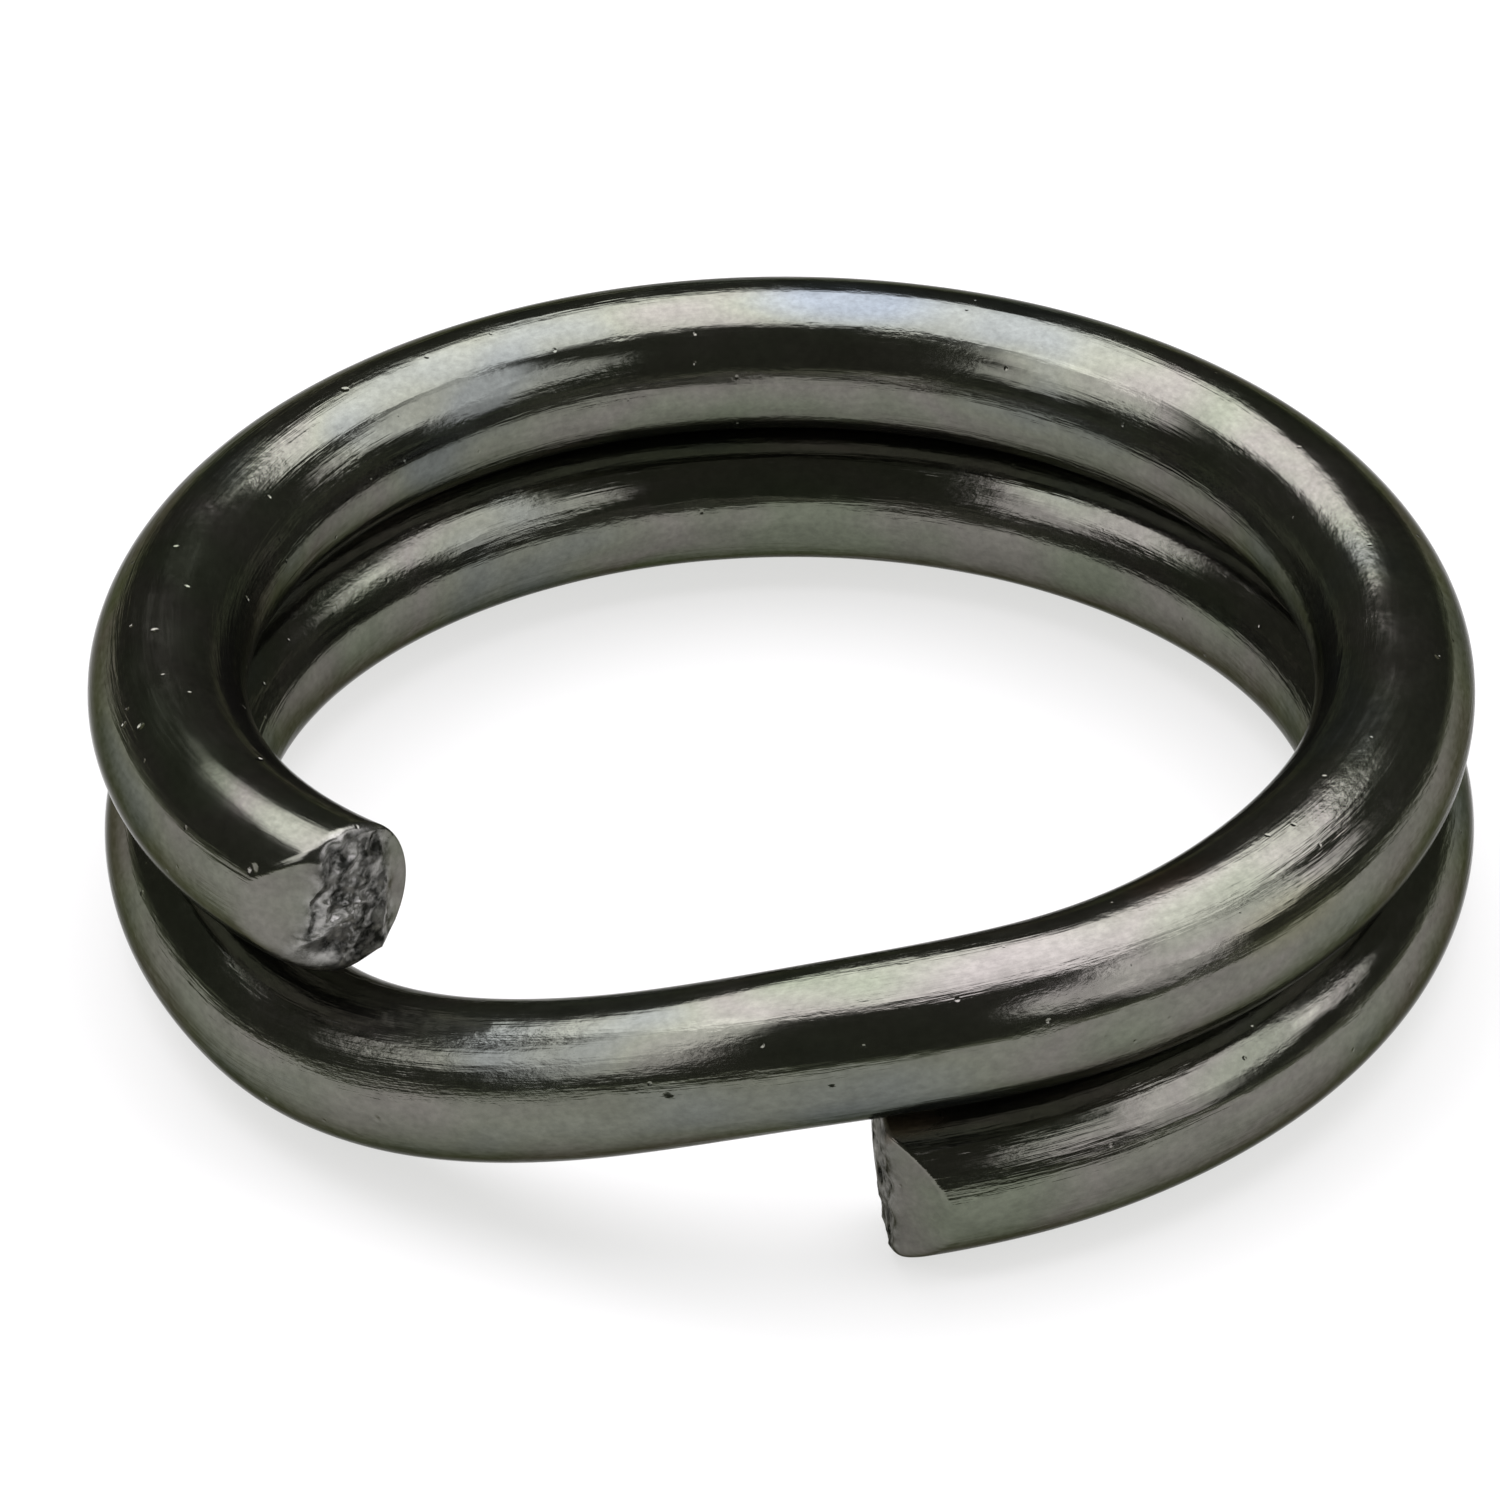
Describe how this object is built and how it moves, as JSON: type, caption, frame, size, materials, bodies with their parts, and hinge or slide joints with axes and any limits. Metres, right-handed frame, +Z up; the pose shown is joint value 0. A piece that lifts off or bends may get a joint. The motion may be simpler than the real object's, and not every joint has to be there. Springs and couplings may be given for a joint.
{
  "type": "split key ring",
  "caption": "Round-wire split ring coiled into two flat turns with an S-shaped crossover; keys are threaded on at either free end.",
  "frame": {"origin": "on the ring's axis, level with the lowest point of the wire, which the ring rests on", "axes": "+Z up along the ring's axis, through the eye; the crossover between the turns is at the front, towards -Y; +X to the right"},
  "size_m": [0.012, 0.0119, 0.0032],
  "materials": {
    "spring_wire": "polished black-nickel plate over drawn spring-steel wire, with bare sheared ends"
  },
  "bodies": {
    "crossover": {"crossover": "spring_wire"},
    "upper_front_right_arc": {"upper_front_right_arc": "spring_wire"},
    "upper_right_arc": {"upper_right_arc": "spring_wire"},
    "upper_back_arc": {"upper_back_arc": "spring_wire"},
    "upper_left_arc": {"upper_left_arc": "spring_wire"},
    "upper_tip": {"upper_tip": "spring_wire"},
    "lower_left_arc": {"lower_left_arc": "spring_wire"},
    "lower_back_left_arc": {"lower_back_left_arc": "spring_wire"},
    "lower_back_right_arc": {"lower_back_right_arc": "spring_wire"},
    "lower_right_arc": {"lower_right_arc": "spring_wire"},
    "lower_tip": {"lower_tip": "spring_wire"}
  },
  "joints": [
    {"name": "upper_front_right_twist", "type": "hinge", "parent": "crossover", "child": "upper_front_right_arc", "pos_m": [0.00183, -0.005, 0.00219], "axis": [0.9367, 0.3502, 0], "range_deg": [0, 1.2], "stiffness_Nm_per_rad": 5.1},
    {"name": "upper_right_flex", "type": "hinge", "parent": "upper_front_right_arc", "child": "upper_right_arc", "pos_m": [0.00518, -0.00104, 0.00219], "axis": [-0.2729, 0.962, 0], "range_deg": [0, 3.4], "stiffness_Nm_per_rad": 5.1},
    {"name": "upper_back_flex", "type": "hinge", "parent": "upper_right_arc", "child": "upper_back_arc", "pos_m": [0.00356, 0.00389, 0.00219], "axis": [-0.7094, 0.7048, 0], "range_deg": [0, 3.8], "stiffness_Nm_per_rad": 5.1},
    {"name": "upper_left_flex", "type": "hinge", "parent": "upper_back_arc", "child": "upper_left_arc", "pos_m": [-0.00149, 0.00508, 0.00219], "axis": [-0.9638, 0.2665, 0], "range_deg": [0, 3.2], "stiffness_Nm_per_rad": 5.1},
    {"name": "upper_tip_flex", "type": "hinge", "parent": "upper_left_arc", "child": "upper_tip", "pos_m": [-0.00515, 0.0014, 0.0022], "axis": [-0.9703, -0.2421, 0], "range_deg": [0, 1.9], "stiffness_Nm_per_rad": 5.1},
    {"name": "lower_left_twist", "type": "hinge", "parent": "crossover", "child": "lower_left_arc", "pos_m": [-0.00447, -0.00278, 0.00077], "axis": [-0.5255, 0.8508, 0], "range_deg": [0, 1.1], "stiffness_Nm_per_rad": 5.1},
    {"name": "lower_back_left_flex", "type": "hinge", "parent": "lower_left_arc", "child": "lower_back_left_arc", "pos_m": [-0.00467, 0.00243, 0.00077], "axis": [0.8227, 0.5684, 0], "range_deg": [0, 3.4], "stiffness_Nm_per_rad": 5.1},
    {"name": "lower_back_right_flex", "type": "hinge", "parent": "lower_back_left_arc", "child": "lower_back_right_arc", "pos_m": [-0.00031, 0.00528, 0.00077], "axis": [0.9958, 0.092, 0], "range_deg": [0, 3.8], "stiffness_Nm_per_rad": 5.1},
    {"name": "lower_right_flex", "type": "hinge", "parent": "lower_back_right_arc", "child": "lower_right_arc", "pos_m": [0.00438, 0.00302, 0.00077], "axis": [0.9129, -0.4081, 0], "range_deg": [0, 3.3], "stiffness_Nm_per_rad": 5.1},
    {"name": "lower_tip_flex", "type": "hinge", "parent": "lower_right_arc", "child": "lower_tip", "pos_m": [0.00486, -0.00217, 0.00077], "axis": [0.5974, -0.802, 0], "range_deg": [0, 1.9], "stiffness_Nm_per_rad": 5.1}
  ]
}
